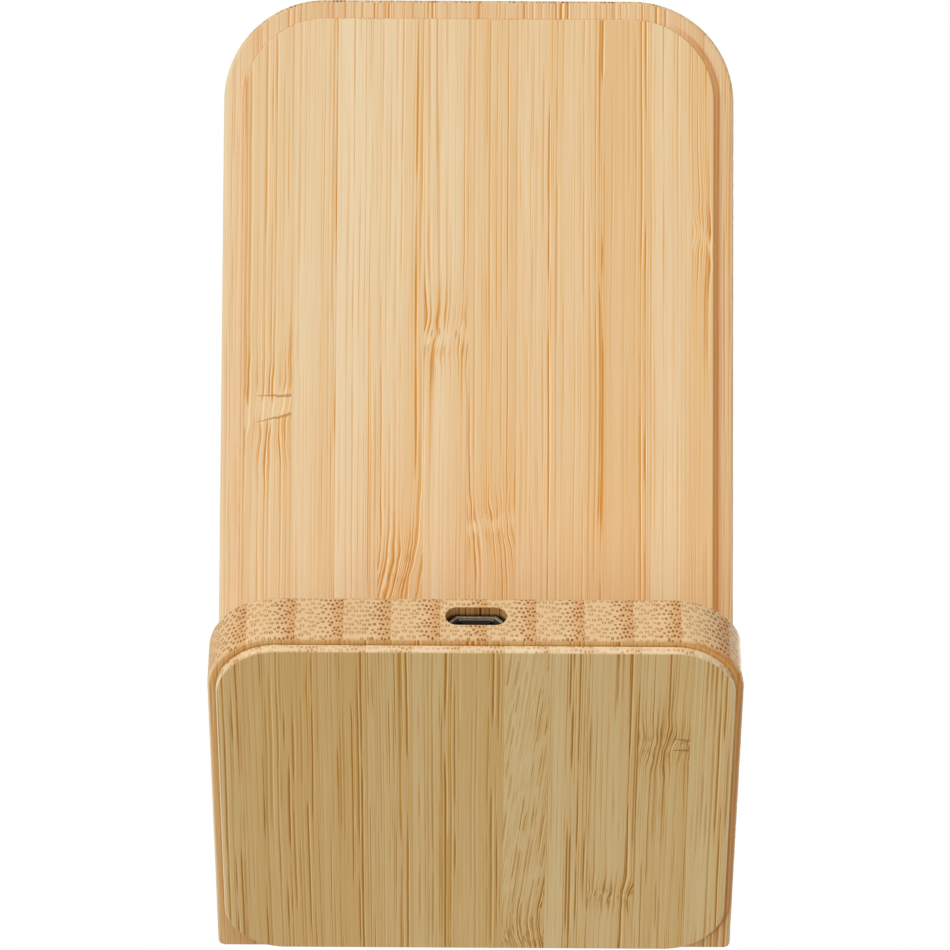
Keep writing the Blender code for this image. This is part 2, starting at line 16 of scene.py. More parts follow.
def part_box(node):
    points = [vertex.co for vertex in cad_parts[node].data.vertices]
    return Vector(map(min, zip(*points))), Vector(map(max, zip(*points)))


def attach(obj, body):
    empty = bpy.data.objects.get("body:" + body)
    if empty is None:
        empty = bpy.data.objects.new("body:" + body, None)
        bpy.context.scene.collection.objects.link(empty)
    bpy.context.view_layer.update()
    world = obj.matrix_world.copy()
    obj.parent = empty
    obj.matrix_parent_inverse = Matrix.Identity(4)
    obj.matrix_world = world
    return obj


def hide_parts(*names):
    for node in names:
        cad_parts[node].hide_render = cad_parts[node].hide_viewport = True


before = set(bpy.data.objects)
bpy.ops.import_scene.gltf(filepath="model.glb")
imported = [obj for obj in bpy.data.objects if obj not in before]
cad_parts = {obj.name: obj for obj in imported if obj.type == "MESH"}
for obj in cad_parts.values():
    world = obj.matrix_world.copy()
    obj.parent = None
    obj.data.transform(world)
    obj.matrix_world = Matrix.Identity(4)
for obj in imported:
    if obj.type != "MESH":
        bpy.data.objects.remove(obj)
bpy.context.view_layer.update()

MM = 0.001

# Sizes of the wooden pieces, as in the solids
LEAN = math.radians(50.0)
BOARD_WIDTH = 75.0 * MM
BACK_LENGTH = 139.0 * MM
BACK_THICKNESS = 10.0 * MM
BACK_CORNER = 15.0 * MM
BASE_LENGTH = 65.5 * MM
BASE_THICKNESS = 8.0 * MM
BASE_CORNER = 10.0 * MM
MITRE_CORNER = 1.0 * MM
BOARD_ROUND = 0.6 * MM
COVER_RAISE = 1.3 * MM
BACK_COVER_ROUND = 0.2 * MM
BASE_COVER_ROUND = 0.45 * MM
BACK_COVER_MARGIN = 3.0 * MM
BACK_COVER_CORNER = 12.0 * MM
BACK_COVER_SETBACK = 3.2 * MM
BASE_COVER_MARGIN = 1.2 * MM
BASE_COVER_CORNER = 8.8 * MM
LEDGE_RISE = 3.0 * MM
LEDGE_THICKNESS = 8.0 * MM
LEDGE_DEPTH = 14.0 * MM
LEDGE_CORNER = 6.0 * MM
LEDGE_ROUND = 0.8 * MM

# The inlet: the slot's room round the shell, the shell with its flared mouth, the seam that comes
# after one of its corners, and the tongue
SLOT_SIDE = 0.55 * MM
SLOT_ABOVE = 0.45 * MM
SHELL_WALL = 0.25 * MM
SHELL_CHAMFER = 1.0 * MM
SHELL_BEND = 0.45 * MM
FLARE = 0.3 * MM
FLARE_LENGTH = 0.8 * MM
MOUTH_OUT = 0.25 * MM
BEFORE_SEAM = 3
SEAM_HALF_WIDTH = 0.04 * MM
SEAM_DEPTH = 0.06 * MM
TONGUE_WIDTH = 3.9 * MM
TONGUE_THICKNESS = 0.6 * MM
TONGUE_SETBACK = 0.2 * MM
TONGUE_ROOT = 1.5 * MM
TONGUE_ROUND = 0.1 * MM

# Fine joints between the pieces
SEAM = 0.04 * MM
WELD = SEAM / 100
CUT_SLACK = SEAM / 1000
COVER_SEAM = 0.08 * MM
SEAM_ROUND = 0.12 * MM
CLEARANCE = 0.3 * MM
OVERRUN = 2.0 * MM

# Where the boards meet, as in the solids
INNER_BACK = (BACK_THICKNESS + BASE_THICKNESS * math.cos(LEAN)) / math.sin(LEAN)
INNER_UP = INNER_BACK * math.cos(LEAN) + BASE_THICKNESS * math.sin(LEAN)
MITRE_ANGLE = math.atan2(BASE_THICKNESS, INNER_BACK)

BASE_LOW, BASE_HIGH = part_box("base_board")
OUTER_EDGE = Vector((0, BASE_HIGH.y - BASE_LENGTH, BASE_LOW.z))
BASE_FRAME = Matrix.Translation(OUTER_EDGE)
BACK_FRAME = BASE_FRAME @ Matrix.Rotation(LEAN, 4, "X")

# Angles past which an edge stays sharp
WOOD_SHARP = 35
INLET_SHARP = 40

# Stage: the camera's place, pitch and roll, and its lens and sensor in millimetres
CAMERA_PLACE = Vector((0.27, 571.1, -524.1)) * MM
CAMERA_PITCH = math.radians(44.58)
CAMERA_ROLL = math.radians(0.33)
CAMERA_LENS = 208.1
CAMERA_SENSOR = 36.0
CAMERA_NEAR = 10.0 * MM
FLOOR_HALF_SIZE = 30.0
FLOOR_DROP = 0.2 * MM
SKY_LIGHT = 0.40

# Steps round a corner of an outline, a rounded edge and a bend of the shell
CORNER_STEPS = 24
ROUND_STEPS = 4
BEND_STEPS = 6


def rounded_outline(half_width, low, high, low_radius, high_radius):
    """A rectangle from low to high along Y, symmetric in X, with round corners, anticlockwise."""
    quarter = math.pi / 2
    corners = (
        (half_width - low_radius, low + low_radius, low_radius, -quarter),
        (half_width - high_radius, high - high_radius, high_radius, 0.0),
        (high_radius - half_width, high - high_radius, high_radius, quarter),
        (low_radius - half_width, low + low_radius, low_radius, 2 * quarter),
    )
    outline = []
    for across, along, radius, start in corners:
        for step in range(CORNER_STEPS + 1):
            angle = start + quarter * step / CORNER_STEPS
            outline.append((across + radius * math.cos(angle), along + radius * math.sin(angle)))
    return outline


def plate_mesh(shape, low, high, low_round, high_round):
    """A rounded rectangle made solid from low to high in Z. shape is as in rounded_outline."""
    half_width, shape_low, shape_high, low_radius, high_radius = shape
    levels = []
    for step in range(ROUND_STEPS + 1):
        angle = math.pi / 2 * (1 - step / ROUND_STEPS)
        levels.append((low_round * (1 - math.cos(angle)), low + low_round * (1 - math.sin(angle))))
    for step in range(ROUND_STEPS + 1):
        angle = math.pi / 2 * step / ROUND_STEPS
        levels.append((high_round * (1 - math.cos(angle)), high - high_round * (1 - math.sin(angle))))
    mesh = bmesh.new()
    rings = []
    for inset, height in levels:
        outline = rounded_outline(
            half_width - inset,
            shape_low + inset,
            shape_high - inset,
            low_radius - inset,
            high_radius - inset,
        )
        rings.append([mesh.verts.new((across, along, height)) for across, along in outline])
    for lower, upper in zip(rings, rings[1:]):
        for index in range(len(lower)):
            after = (index + 1) % len(lower)
            mesh.faces.new((lower[index], lower[after], upper[after], upper[index]))
    mesh.faces.new(list(reversed(rings[0])))
    mesh.faces.new(rings[-1])
    bmesh.ops.remove_doubles(mesh, verts=mesh.verts, dist=WELD)
    return mesh


def cut_plane(mesh, point, normal):
    """Cuts away what lies beyond a plane, closes the cut and eases its edge."""
    geometry = mesh.verts[:] + mesh.edges[:] + mesh.faces[:]
    cut = bmesh.ops.bisect_plane(
        mesh, geom=geometry, plane_co=point, plane_no=normal, clear_outer=True, dist=CUT_SLACK
    )
    rim = [item for item in cut["geom_cut"] if isinstance(item, bmesh.types.BMEdge)]
    bmesh.ops.edgeloop_fill(mesh, edges=rim)
    rim = [edge for edge in rim if edge.is_valid]
    bmesh.ops.bevel(mesh, geom=rim, offset=SEAM_ROUND, segments=2, profile=0.5, affect="EDGES")


def box_mesh(low, high):
    """A box between two corners."""
    mesh = bmesh.new()
    bmesh.ops.create_cube(mesh, size=1)
    low = Vector(low)
    high = Vector(high)
    bmesh.ops.scale(mesh, vec=high - low, verts=mesh.verts)
    bmesh.ops.translate(mesh, vec=(low + high) / 2, verts=mesh.verts)
    return mesh


def make_object(name, mesh, matrix=Matrix.Identity(4)):
    """An object at the origin, with the mesh turned and moved to its place by the matrix."""
    mesh.transform(matrix)
    bmesh.ops.recalc_face_normals(mesh, faces=mesh.faces)
    data = bpy.data.meshes.new(name)
    mesh.to_mesh(data)
    mesh.free()
    made = bpy.data.objects.new(name, data)
    bpy.context.scene.collection.objects.link(made)
    return made


def cut_out(piece, cutter):
    """Cuts the cutter from the piece and removes the cutter."""
    boolean = piece.modifiers.new("cut", "BOOLEAN")
    boolean.operation = "DIFFERENCE"
    boolean.solver = "EXACT"
    boolean.object = cutter
    bpy.context.view_layer.update()
    evaluated = piece.evaluated_get(bpy.context.evaluated_depsgraph_get())
    data = bpy.data.meshes.new_from_object(evaluated)
    piece.modifiers.clear()
    piece.data = data
    piece.data.name = piece.name
    bpy.data.objects.remove(cutter, do_unlink=True)


def smooth(piece, sharp_angle):
    """Smooth shading that keeps flat faces flat and edges past the angle sharp."""
    piece.data.shade_smooth()
    piece.data.set_sharp_from_angle(angle=math.radians(sharp_angle))
    normals = piece.modifiers.new("normals", "WEIGHTED_NORMAL")
    normals.keep_sharp = True
    normals.weight = 100


def finish_piece(piece, material, slot, *nodes):
    """Gives the piece its only material so far and says which nodes it stands in for."""
    piece.data.materials.clear()
    piece.data.materials.append(material)
    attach(piece, "root")
    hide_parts(*nodes)


class Value:
    """An output of a node that can be added, multiplied and so on like a number."""

    def __init__(self, shader, socket):
        self.shader = shader
        self.socket = socket

    def __add__(self, other):
        return self.shader.math("ADD", self, other)

    def __sub__(self, other):
        return self.shader.math("SUBTRACT", self, other)

    def __rsub__(self, other):
        return self.shader.math("SUBTRACT", other, self)

    def __mul__(self, other):
        return self.shader.math("MULTIPLY", self, other)

    def __truediv__(self, other):
        return self.shader.math("DIVIDE", self, other)

    def __pow__(self, power):
        return self.shader.math("POWER", self, power)

    def __abs__(self):
        return self.shader.math("ABSOLUTE", self)

    __radd__ = __add__
    __rmul__ = __mul__


class Shader:
    """Short calls for building a node tree. An argument is a value, a socket, a number or a tuple."""

    def __init__(self, name):
        self.material = bpy.data.materials.new(name)
        self.material.use_nodes = True
        self.tree = self.material.node_tree
        self.surface = self.tree.nodes["Principled BSDF"]

    def plug(self, value, socket):
        value = value.socket if isinstance(value, Value) else value
        if isinstance(value, bpy.types.NodeSocket):
            self.tree.links.new(value, socket)
        else:
            socket.default_value = value

    def node(self, kind, *values, **settings):
        made = self.tree.nodes.new(kind)
        for name, value in settings.items():
            setattr(made, name, value)
        for value, socket in zip(values, made.inputs):
            self.plug(value, socket)
        return made

    def math(self, operation, *values, clamp=False):
        made = self.node("ShaderNodeMath", *values, operation=operation, use_clamp=clamp)
        return Value(self, made.outputs[0])

    def clamp(self, value):
        """A value kept from 0 to 1."""
        return self.math("ADD", value, 0.0, clamp=True)

    def ramp(self, value, low, high, to_low=0.0, to_high=1.0):
        """A smooth step from to_low at low to to_high at high."""
        made = self.node("ShaderNodeMapRange", value, low, high, to_low, to_high)
        made.interpolation_type = "SMOOTHSTEP"
        return Value(self, made.outputs[0])

    def fall(self, value, low, high):
        """A smooth step from 1 at low down to 0 at high."""
        return self.ramp(value, low, high, 1.0, 0.0)

    def combine(self, *values):
        return self.node("ShaderNodeCombineXYZ", *values).outputs[0]

    def separate(self, vector):
        return [Value(self, socket) for socket in self.node("ShaderNodeSeparateXYZ", vector).outputs]

    def facing(self, direction):
        """How squarely the surface faces along a direction, either way."""
        normal = self.node("ShaderNodeNewGeometry").outputs["Normal"]
        made = self.node("ShaderNodeVectorMath", normal, tuple(direction), operation="DOT_PRODUCT")
        return abs(Value(self, made.outputs["Value"]))

    def noise(self, vector, scale, detail, roughness=0.5):
        """A noise from 0 to 1, mostly between 0.3 and 0.7."""
        made = self.node("ShaderNodeTexNoise")
        self.plug(vector, made.inputs["Vector"])
        self.plug(scale, made.inputs["Scale"])
        self.plug(detail, made.inputs["Detail"])
        self.plug(roughness, made.inputs["Roughness"])
        return Value(self, made.outputs["Fac"])

    def cells(self, at, dimensions, randomness=1.0):
        """A pattern of random cells: its outputs, and three random numbers of each cell."""
        made = self.node("ShaderNodeTexVoronoi", voronoi_dimensions=dimensions)
        self.plug(at, made.inputs["W" if dimensions == "1D" else "Vector"])
        self.plug(1.0, made.inputs["Scale"])
        self.plug(randomness, made.inputs["Randomness"])
        return made.outputs, self.separate(made.outputs["Color"])

    def blend(self, share, first, second):
        """Colours mixed by the share of the second."""
        made = self.node("ShaderNodeMix", data_type="RGBA")
        self.plug(share, made.inputs[0])
        self.plug(first, made.inputs[6])
        self.plug(second, made.inputs[7])
        return made.outputs[2]

    def shade(self, colour, factor):
        """A colour made lighter or darker by a factor."""
        made = self.node("ShaderNodeVectorMath", operation="SCALE")
        self.plug(colour, made.inputs[0])
        self.plug(factor, made.inputs["Scale"])
        return made.outputs[0]

    def bump(self, height, distance):
        made = self.node("ShaderNodeBump")
        self.plug(1.0, made.inputs["Strength"])
        self.plug(distance, made.inputs["Distance"])
        self.plug(height, made.inputs["Height"])
        return made.outputs["Normal"]

    def finish(self, **values):
        for name, value in values.items():
            self.plug(value, self.surface.inputs[name.replace("_", " ")])
        return self.material


def srgb(red, green, blue):
    """Linear colour of an sRGB colour given from 0 to 255."""
    linear = []
    for channel in (red, green, blue):
        share = channel / 255
        linear.append(share / 12.92 if share <= 0.04045 else ((share + 0.055) / 1.055) ** 2.4)
    return (*linear, 1.0)


class Palette(NamedTuple):
    """Colours of one piece's bamboo.

    Beside a plate lie a painted shadow with some glue staining, a painted glow of light bounced
    into that shadow, and a thin line of grime with painted contact shade. A painted highlight is on a
    rounded edge, and in a slot the lines drawn darker and a near-black are painted shade. The others
    are the wood and its lines, and the end grain and its dots; dark also paints shade on a slot's walls.
    """

    pale: tuple
    warm: tuple
    amber: tuple
    line: tuple
    cream: tuple
    end_pale: tuple
    end_warm: tuple
    dot: tuple
    ring: tuple
    dark: tuple
    shadow_and_stain: tuple
    painted_bounce: tuple
    dirt_and_shade: tuple
    edge_highlight: tuple
    shaded_streak: tuple
    shade: tuple


class Knuckle(NamedTuple):
    """A knuckle of the culm in one strip, where lines swing, break up and start again.

    place is its distance up the board in millimetres and reach how far the lines feel it. slant
    tilts it, sweep is how far the lines swing sideways, gap how clear the wood between them is,
    ticks how many short dark marks it has, and cross the width of the two lines across it.
    """

    place: float = 0.0
    reach: float = 1.0
    slant: float = 0.0
    sweep: float = 0.0
    gap: float = 0.0
    ticks: float = 0.0
    cross: float = 0.0


class Strip(NamedTuple):
    """One strip of a glued-up board.

    seam is where it ends towards +X, in millimetres. tone goes from 0, pale, to 1, warm, and
    lines is how strongly its fibre bundles show. dashes is how short and slanting the lines are.
    """

    seam: float
    tone: float
    lines: float
    knuckle: Knuckle = Knuckle()
    dashes: float = 0.0


class Bamboo(Shader):
    """Bamboo laid up from strips along the Y axis of a frame, or along X if turned.

    run is about how far a line can be followed before it fades, in millimetres. pitch and weight
    are how far apart and how wide the lines are, against those of the board.

    The fibre bundles of a strip show as fine lines on its faces and as dots on its end grain,
    close and dark on the side of the culm's skin, which is towards -X, and wide apart beyond.
    """

    # How squarely a surface faces along the grain where end grain begins and where it is whole,
    # and how squarely it faces up at the two ends of a rounded edge
    END_GRAIN = (0.2, 0.5)
    EDGE_TOP = (0.6, 0.985)
    EDGE_FOOT = (0.1, 0.3)

    # Measures of the pattern, in millimetres. Lines have a spacing and half a width.
    LINE_SLANT = 0.9
    BOLD_LINES = (0.75, 0.125)
    MEDIUM_LINES = (0.38, 0.07)
    FINE_LINES = (0.19, 0.045)
    TICK_SPACING = 0.42
    TICK_LENGTH = 3.0
    TICK_RADIUS = 0.3
    DOT_SPACING = 0.43
    DOT_SPACING_GROWTH = 1.55
    DOT_ROWS = 1.7
    DOT_RADIUS = 0.18
    DOT_RADIUS_GROWTH = 0.65
    DOT_DISORDER = 0.42
    SEAM_WIDTH = 0.06
    WARM_LENGTH = 110.0

    # Depths of the relief, in millimetres
    LINE_DEPTH = 0.0012
    DOT_DEPTH = 0.015
    GRAIN_DEPTH = 0.002

    # The painted shadow, with some glue staining, beside a plate: the sides where it is whole and
    # where it ends, and how far from the plate the painted glow of bounced light gives way to it and it
    # fades, in millimetres. Then where the thin line of grime and painted contact shade fades.
    SHADED_SIDE = (-34.0, -27.0)
    GLOW_FADE = (0.35, 0.7)
    SHADOW_FADE = (0.8, 1.25)
    DIRT_AND_SHADE_FADE = (0.1, 0.4)
    LEVEL_SLACK = 0.3

    # A slot's soft edge, and how deep in its shade is whole and begins, in millimetres
    SLOT_EDGE = 0.1
    SLOT_SHADE = (1.75, 1.05)

    def __init__(self, name, matrix, strips, palette, seed, run=30.0, pitch=1.0, weight=1.0, turned=False):
        super().__init__(name)
        self.palette = palette
        self.run = run
        self.pitch = pitch
        self.weight = weight
        texture = self.node("ShaderNodeTexCoord")
        mapping = self.node("ShaderNodeMapping", vector_type="TEXTURE")
        self.plug(texture.outputs["Object"], mapping.inputs["Vector"])
        mapping.inputs["Location"].default_value = matrix.to_translation()
        mapping.inputs["Rotation"].default_value = matrix.to_euler()
        mapping.inputs["Scale"].default_value = (MM, MM, MM)
        place = self.separate(mapping.outputs[0])
        self.side, self.along, self.depth = (place[1], place[0], place[2]) if turned else place
        grain = matrix.to_3x3() @ Vector((1, 0, 0) if turned else (0, 1, 0))
        self.end = self.ramp(self.facing(grain), *self.END_GRAIN)
        flat = self.facing(matrix.to_3x3() @ Vector((0, 0, 1)))
        # The rounded edges, where a highlight is painted
        self.edge = self.fall(flat, *self.EDGE_TOP) * self.ramp(flat, *self.EDGE_FOOT)
        self.read_strips(strips, seed)
        self.bend_lines()

    def lookup(self, rows):
        """Three values that differ from strip to strip. A row has the three numbers of one strip."""
        ramp = self.node("ShaderNodeValToRGB", self.strip_share)
        ramp.color_ramp.interpolation = "CONSTANT"
        elements = ramp.color_ramp.elements
        while len(elements) < len(rows):
            elements.new(1.0)
        spans = [(min(column), max(max(column) - min(column), 1.0)) for column in zip(*rows)]
        for number, (element, row) in enumerate(zip(elements, rows)):
            element.position = number / len(rows)
            element.color = (*[(entry - low) / span for entry, (low, span) in zip(row, spans)], 1.0)
        found = self.separate(ramp.outputs[0])
        return [share * span + low for share, (low, span) in zip(found, spans)]

    def read_strips(self, strips, seed):
        """Which strip a point lies in, where in it, and what that strip is like."""
        index = 0.0
        for strip in strips[:-1]:
            index += self.math("GREATER_THAN", self.side, strip.seam)
        self.strip_share = (index + 0.5) / len(strips)
        lows = [2 * strips[0].seam - strips[1].seam] + [strip.seam for strip in strips[:-1]]
        rows = [(low, strip.seam - low, strip.tone) for strip, low in zip(strips, lows)]
        low, self.width, self.tone = self.lookup(rows)
        self.across = self.side - low
        self.share = self.across / self.width
        pairs = [(strip, strip.knuckle) for strip in strips]
        rows = [(strip.lines, knuckle.place, knuckle.reach) for strip, knuckle in pairs]
        self.lines, knuckle_place, self.reach = self.lookup(rows)
        rows = [(knuckle.slant, knuckle.sweep, knuckle.gap) for strip, knuckle in pairs]
        slant, self.sweep, self.gap = self.lookup(rows)
        rows = [(knuckle.ticks, knuckle.cross, strip.dashes) for strip, knuckle in pairs]
        self.has_ticks, self.has_cross, self.dashes = self.lookup(rows)
        self.near = self.math("GREATER_THAN", knuckle_place, 0.5)
        self.own = (index + seed) * 7.31
        chance = self.node("ShaderNodeTexWhiteNoise", noise_dimensions="1D")
        self.plug(self.own, chance.inputs["W"])
        self.luck = self.separate(chance.outputs["Color"])
        self.middle = self.across - self.width * 0.5
        self.off = self.along - knuckle_place - self.middle * slant

    def bell(self, value, width):
        """1 where the value is 0, falling to either side within the width."""
        share = value / width
        return self.math("EXPONENT", share * share * -1.0)

    def bend_lines(self):
        """Where a line would lie if nothing bent it."""
        self.knot = self.bell(self.off, self.reach) * self.near
        swing = self.math("TANH", self.off / (self.reach * 0.45)) * self.sweep * self.near
        drift_at = self.combine(self.own, self.along * 0.02, self.depth * 0.1)
        drift = (self.noise(drift_at, 1.0, 1.0) - 0.5) * 0.7
        wobble_at = self.combine(self.across * 0.45, self.along * 0.16, self.own)
        wobble = (self.noise(wobble_at, 1.0, 1.0) - 0.5) * (self.knot * 1.5 + 0.1)
        fan = self.middle * self.knot * 0.12
        slanting = self.along * 0.16 * self.dashes + self.depth * self.LINE_SLANT
        self.bent = self.across + swing + drift + wobble + fan + slanting
        self.stretch = (self.dashes * 5.0 + 1.0) / self.run

    def line_layer(self, spacing, half_width, number):
        """Lines at random distances: their masks, the soft glow round them, the pale line beside
        each, and their luck."""
        spacing *= self.pitch
        half_width *= self.weight
        at = self.bent / spacing + self.own * (3.7 + number)
        cell, luck = self.cells(at, "1D")
        off = (at - cell["W"]) * spacing
        fade_at = self.combine(luck[1] * 97.0, self.along * self.stretch, number)
        fade = self.ramp(self.noise(fade_at, 1.0, 2.0), 0.4, 0.56)
        fade = self.math("MAXIMUM", fade, self.knot * 0.8)
        chosen = self.knot * 0.12 + luck[2] ** 1.3
        strength = fade * (chosen * 1.1 + 0.2)
        off /= (luck[0] + 0.5) * half_width * (fade * 0.6 + 0.4)
        line = self.fall(abs(off), 0.35, 1.15)
        halo = self.fall(abs(off), 0.6, 2.6)
        pale = self.fall(abs(off + 2.0), 0.3, 1.1)
        return line * strength, halo * strength, pale * strength, luck

    def clear_band(self, luck):
        """The gap in the lines at a knuckle. Every line ends at a height of its own."""
        ragged = (luck[0] - 0.5) * self.reach * 0.3
        band = self.bell(self.off + ragged, self.reach * 0.2)
        return band * self.gap * self.near

    def ticks(self):
        """Short dark marks around a knuckle."""
        across = self.bent / self.TICK_SPACING
        at = self.combine(across, self.along / self.TICK_LENGTH, self.own)
        cell, luck = self.cells(at, "2D")
        size = (luck[0] + 0.3) * self.TICK_RADIUS
        mark = self.fall(Value(self, cell["Distance"]) / size, 0.6, 1.2)
        around = self.bell(self.off, self.reach * 0.36)
        few = self.ramp(luck[1] - (1.0 - self.has_ticks), 0.0, 0.1)
        return mark * around * few * self.near

    def cross_lines(self):
        """Two thin lines across a knuckle, from the side of the culm's skin inwards."""
        waver = self.noise(self.combine(self.across, self.own, 0.0), 0.7, 2.0) - 0.5
        off = self.off + waver * 0.8
        apart = abs(off) - self.reach * (self.share * 0.09 + 0.15)
        taper = self.ramp(self.share, 0.0, self.has_cross, 0.3, 0.07)
        line = self.fall(abs(apart) / taper, 0.4, 1.1)
        reaching = self.ramp(self.has_cross - self.share, 0.0, 0.12)
        return line * reaching * self.near

    def dots(self):
        """The bundles on end grain: their mask, and how far across the strip they lie."""
        share = self.clamp(self.share)
        grown = share * self.DOT_SPACING_GROWTH + 1.0
        spacing = grown * self.DOT_SPACING
        even = self.math("LOGARITHM", grown, math.e) / (self.DOT_SPACING * self.DOT_SPACING_GROWTH)
        even = even * self.width + self.luck[0] * 50.0
        row = (self.depth + self.luck[1] * 60.0) / self.DOT_ROWS
        at = self.combine(even + row, even - row, 0.0)
        cell, luck = self.cells(at, "2D", self.DOT_DISORDER)
        off = self.node("ShaderNodeVectorMath", at, cell["Position"], operation="SUBTRACT")
        first, second = self.separate(off.outputs[0])[:2]
        wide = (first + second) * 0.5 * spacing * self.ramp(share, 0.1, 0.6, 1.3, 1.0)
        high = (first - second) * 0.5 * self.DOT_ROWS
        away = self.math("SQRT", wide * wide + high * high)
        radius = (share * self.DOT_RADIUS_GROWTH + 1.0) * self.DOT_RADIUS
        out = away / (radius * (luck[0] * 0.4 + 0.8))
        body = self.fall(out, 0.85, 1.25)
        hollow = self.fall(out, 0.2, 0.75) * self.ramp(share, 0.15, 0.55, 0.05, 0.75)
        tips = (abs(wide) / (away + 0.02)) ** 2.0
        rim = self.clamp(tips * 0.6 + self.ramp(share, 0.15, 0.7, 1.0, 0.36))
        return body * (1.0 - hollow) * rim * (luck[1] * 0.22 + 0.78), share

    def seams(self):
        """The glue lines between the strips, some of them hardly seen."""
        near = self.math("MINIMUM", self.across, self.width - self.across)
        line = self.fall(abs(near), self.SEAM_WIDTH / 3, self.SEAM_WIDTH)
        return line * (self.luck[1] * 0.5 + 0.1)

    def crease(self, outline, level, painted_bounce):
        """Round a plate that lies on the face at that level: a painted shadow, with some glue staining,
        beside it towards -X, a painted glow of light bounced into that shadow, as strong as the last
        argument says, and elsewhere a thin line of grime with painted contact shade."""
        half_width, low, high, radius, _ = outline
        across = self.math("MAXIMUM", abs(self.side) - (half_width - radius), 0.0)
        off = abs(self.along - (low + high) / 2)
        along = self.math("MAXIMUM", off - ((high - low) / 2 - radius), 0.0)
        away = self.math("SQRT", across * across + along * along) - radius
        on = self.math("COMPARE", self.depth, level, self.LEVEL_SLACK)
        # The side towards -X, away from the light, is where the plate's shadow is painted
        shaded_side = self.fall(self.side, *self.SHADED_SIDE) * on
        band = self.ramp(away, *self.GLOW_FADE) * self.fall(away, *self.SHADOW_FADE)
        # A painted glow of light bounced into that shadow, close to the plate
        glow = self.ramp(away, *self.GLOW_FADE, painted_bounce, 0.0)
        uneven = self.noise(self.combine(self.side, self.along, 0.0), 0.4, 2.0)
        uneven = self.ramp(uneven, 0.3, 0.7, 0.6, 1.0)
        # Elsewhere a thin line of grime and painted contact shade in the crease
        dirt_and_shade = self.fall(away, *self.DIRT_AND_SHADE_FADE) * uneven * on * (1.0 - shaded_side)
        return band * shaded_side, glow * shaded_side, dirt_and_shade

    def tunnel(self, half_width, low, high, mouth):
        """The walls of a slot along the grain, where shade is painted, and the painted shade deeper in."""
        half_height = (high - low) / 2
        across = self.fall(abs(self.side), half_width, half_width + self.SLOT_EDGE)
        off = abs(self.depth - (low + high) / 2)
        upright = self.fall(off, half_height, half_height + self.SLOT_EDGE)
        walls = across * upright * (1.0 - self.end)
        deep, begins = (mouth - depth for depth in self.SLOT_SHADE)
        return walls, walls * self.fall(self.along, deep, begins)

    def draw_lines(self):
        """The bold and the thin lines of a face, the glow round them, the pale lines beside them,
        how crowded they all are, and the marks at a knuckle."""
        bold, glow, bold_pale, luck = self.line_layer(*self.BOLD_LINES, 1)
        medium, _, medium_pale, _ = self.line_layer(*self.MEDIUM_LINES, 2)
        fine = self.line_layer(*self.FINE_LINES, 3)[0]
        clear = self.clamp(self.clear_band(luck))
        crowd = self.noise(self.combine(self.bent * 0.33, self.along * 0.009, self.own), 1.0, 1.0)
        density = self.ramp(self.share, 0.0, 0.65, 1.2, 0.5) * self.ramp(crowd, 0.38, 0.6, 0.4, 1.0)
        self.density = density * self.lines + self.knot * 0.45
        broken = self.density * (1.0 - clear)
        self.bold = self.clamp(bold * broken * 2.1)
        self.glow = self.clamp(glow * broken * 0.9)
        thin = (medium * 1.1 + fine * 0.15) * (self.density * 0.75 + 0.32)
        self.thin = thin * (1.0 - clear * 0.6)
        self.drawn = self.clamp(self.bold + self.thin)
        pale = bold_pale * 0.9 + medium_pale * 0.45
        self.pale = pale * (1.0 - self.drawn)
        self.marks = self.math("MAXIMUM", self.ticks(), self.cross_lines())

    def vary_wood(self):
        """Broad and fine changes in the wood between the lines."""
        broad_at = self.combine(self.bent * 0.4, self.along * 0.012, self.own)
        self.broad = self.noise(broad_at, 1.0, 2.0)
        grain_at = self.combine(self.bent * 3.5, self.along * 0.09, self.own)
        self.grain = self.noise(grain_at, 1.0, 3.0, 0.6)

    def face_colour(self, deepen):
        """The colour of the faces along the grain."""
        palette = self.palette
        warmth = self.fall(self.share, 0.0, 0.7) * 0.22 + self.tone
        warmth += self.fall(self.along, 0.0, self.WARM_LENGTH) * deepen
        warmth += (self.broad - 0.5) * 1.1 + self.density * 0.15 + (self.grain - 0.5) * 0.6
        face = self.blend(self.clamp(warmth), palette.pale, palette.warm)
        soft = self.clamp(self.thin + self.glow)
        face = self.blend(self.bold, self.blend(soft, face, palette.amber), palette.line)
        pale = self.clamp(self.pale * (self.density + 0.45))
        face = self.blend(pale, face, palette.cream)
        return self.blend(self.marks * 0.7, face, palette.dark)

    def end_colour(self):
        """The colour of the end grain, and the mask of its dots."""
        palette = self.palette
        mask, share = self.dots()
        warmth = self.clamp(self.fall(share, 0.0, 0.4) + self.tone * 0.5 + (self.broad - 0.5) * 0.8)
        wood = self.blend(warmth, palette.end_pale, palette.end_warm)
        bundles = self.blend(self.ramp(share, 0.15, 0.6), palette.dot, palette.ring)
        return self.blend(mask, wood, bundles), mask

    def build(self, crease=None, tunnel=None, deepen=0.0, edge_highlight=0.0):
        """The whole material.

        crease and tunnel are what the methods of those names take. deepen is how much warmer the
        wood is at the lower end, and the last argument how strong the painted highlight is on the
        rounded edges.
        """
        palette = self.palette
        self.draw_lines()
        self.vary_wood()
        ends, mask = self.end_colour()
        colour = self.blend(self.end, self.face_colour(deepen), ends)
        seams = self.seams()
        colour = self.blend(seams, colour, palette.line)
        if tunnel:
            walls, shade = self.tunnel(*tunnel)
        # A painted highlight along the rounded edges, kept off a slot's walls
        if edge_highlight:
            highlit_edge = self.edge * (1.0 - self.end)
            if tunnel:
                highlit_edge *= 1.0 - walls
            colour = self.blend(highlit_edge * edge_highlight, colour, palette.edge_highlight)
